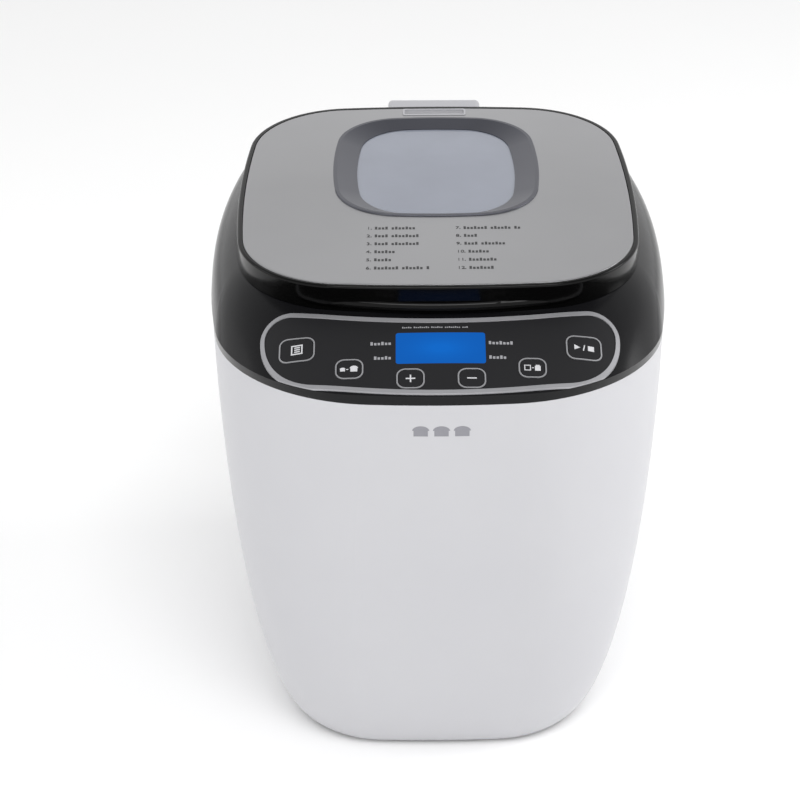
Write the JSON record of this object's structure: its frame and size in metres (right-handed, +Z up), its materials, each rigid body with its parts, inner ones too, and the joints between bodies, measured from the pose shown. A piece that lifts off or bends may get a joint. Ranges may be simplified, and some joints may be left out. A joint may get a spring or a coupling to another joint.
{
  "type": "bread machine",
  "caption": "Countertop bread machine with a tilting windowed lid, sloping control panel, lift-out pan, kneading paddle and belt drive.",
  "frame": {"origin": "on the table, under the middle of the housing", "axes": "+X to the user's right, +Y to the back where the lid hinge is, +Z up"},
  "size_m": [0.2748, 0.3314, 0.3222],
  "materials": {
    "white_housing": "satin white polypropylene",
    "dark_deck": "glossy charcoal ABS",
    "black_lid": "glossy black ABS",
    "black_plastic": "matte black plastic",
    "grey_plastic": "silver grey plastic",
    "overlay_film": "printed film",
    "chrome_trim": "bright plated trim",
    "brushed_lid": "brushed stainless sheet",
    "sheet_steel": "galvanised steel sheet",
    "shaft_steel": "ground steel",
    "lcd_clear": "clear display window",
    "display_blue": "lit blue display",
    "window_glass": "tempered glass",
    "silicone_dark": "silicone rubber",
    "rubber_black": "soft rubber",
    "board_green": "glass-epoxy circuit board",
    "aluminised": "aluminised steel sheet",
    "cast_aluminium": "die-cast aluminium",
    "nonstick_dark": "non-stick coating",
    "element_sheath": "heat-darkened stainless tube",
    "steatite": "steatite ceramic",
    "bronze": "oil-filled sintered bronze",
    "copper_wire": "enamelled copper wire",
    "lamination": "stacked electrical steel",
    "wire_silicone": "glass-braided lead",
    "cable_grey": "PVC cable jacket"
  },
  "bodies": {
    "housing": {"outer_shell": "white_housing", "base_plate": "black_plastic", "rubber_feet": "rubber_black", "case_screws": "shaft_steel", "top_deck": "dark_deck", "panel_trim": "chrome_trim", "control_overlay": "overlay_film", "lcd_window": "lcd_clear", "lcd_module": "display_blue", "control_board": "board_green", "hinge_housing": "black_plastic", "hinge_pin": "shaft_steel", "chamber_liner": "aluminised", "heat_shield": "sheet_steel", "heating_element": "element_sheath", "element_bushes": "steatite", "temperature_sensor": "shaft_steel", "thermal_fuse": "steatite", "pan_socket": "cast_aluminium", "bearing_housing": "cast_aluminium", "shaft_bushes": "bronze", "chassis": "sheet_steel", "motor_brackets": "cast_aluminium", "motor_stator": "lamination", "motor_windings": "copper_wire", "drive_belt": "rubber_black", "power_board": "board_green", "power_leads": "wire_silicone", "signal_cable": "cable_grey", "cord_gland": "black_plastic"},
    "lid": {"hinge_cover": "grey_plastic", "lid_frame": "black_lid", "lid_plate": "brushed_lid", "window_bezel": "grey_plastic", "window_seal": "silicone_dark", "window_outer": "window_glass", "window_inner": "window_glass", "lid_liner": "aluminised", "lid_screws": "shaft_steel", "vent_insert": "grey_plastic"},
    "pan": {"bread_pan": "nonstick_dark", "pan_foot": "cast_aluminium", "pan_bush": "bronze", "pan_seal": "silicone_dark", "handle_bosses": "shaft_steel"},
    "handle": {"pan_handle": "shaft_steel"},
    "paddle": {"pan_shaft": "shaft_steel", "pan_coupling": "cast_aluminium", "kneading_paddle": "nonstick_dark"},
    "drive": {"drive_shaft": "shaft_steel", "drive_coupling": "cast_aluminium", "large_pulley": "black_plastic"},
    "motor": {"motor_rotor": "shaft_steel", "small_pulley": "black_plastic"},
    "menu_button": {"menu_key": "overlay_film"},
    "size_button": {"size_key": "overlay_film"},
    "plus_button": {"plus_key": "overlay_film"},
    "minus_button": {"minus_key": "overlay_film"},
    "crust_button": {"crust_key": "overlay_film"},
    "start_button": {"start_key": "overlay_film"}
  },
  "joints": [
    {"name": "lid_hinge", "type": "hinge", "parent": "housing", "child": "lid", "pos_m": [0, 0.15364, 0.29862], "axis": [-1, 0, 0], "range_deg": [0, 85]},
    {"name": "pan_twist", "type": "hinge", "parent": "housing", "child": "pan", "pos_m": [0, 0.014, 0.09], "axis": [0, 0, 1], "range_deg": [-12, 0]},
    {"name": "handle_swing", "type": "hinge", "parent": "pan", "child": "handle", "pos_m": [0, 0.014, 0.236], "axis": [-1, 0, 0], "range_deg": [0, 30]},
    {"name": "drive_spin", "type": "hinge", "parent": "housing", "child": "drive", "pos_m": [0, 0.014, 0.06], "axis": [0, 0, 1], "continuous": true},
    {"name": "motor_spin", "type": "hinge", "parent": "housing", "child": "motor", "pos_m": [-0.044, -0.118, 0.09], "axis": [0, 0, 1], "continuous": true},
    {"name": "paddle_spin", "type": "hinge", "parent": "pan", "child": "paddle", "pos_m": [0, 0.014, 0.11], "axis": [0, 0, 1], "continuous": true},
    {"name": "menu_press", "type": "slide", "parent": "housing", "child": "menu_button", "axis": [0, 0.3834, -0.9236], "range_m": [0, 0.0005], "stiffness_N_per_m": 800},
    {"name": "size_press", "type": "slide", "parent": "housing", "child": "size_button", "axis": [0, 0.3834, -0.9236], "range_m": [0, 0.0005], "stiffness_N_per_m": 800},
    {"name": "plus_press", "type": "slide", "parent": "housing", "child": "plus_button", "axis": [0, 0.3834, -0.9236], "range_m": [0, 0.0005], "stiffness_N_per_m": 800},
    {"name": "minus_press", "type": "slide", "parent": "housing", "child": "minus_button", "axis": [0, 0.3834, -0.9236], "range_m": [0, 0.0005], "stiffness_N_per_m": 800},
    {"name": "crust_press", "type": "slide", "parent": "housing", "child": "crust_button", "axis": [0, 0.3834, -0.9236], "range_m": [0, 0.0005], "stiffness_N_per_m": 800},
    {"name": "start_press", "type": "slide", "parent": "housing", "child": "start_button", "axis": [0, 0.3834, -0.9236], "range_m": [0, 0.0005], "stiffness_N_per_m": 800}
  ],
  "couplings": [
    {"joint": "motor_spin", "follows": "drive_spin", "ratio": 4.5238},
    {"joint": "paddle_spin", "follows": "drive_spin", "ratio": 1}
  ]
}
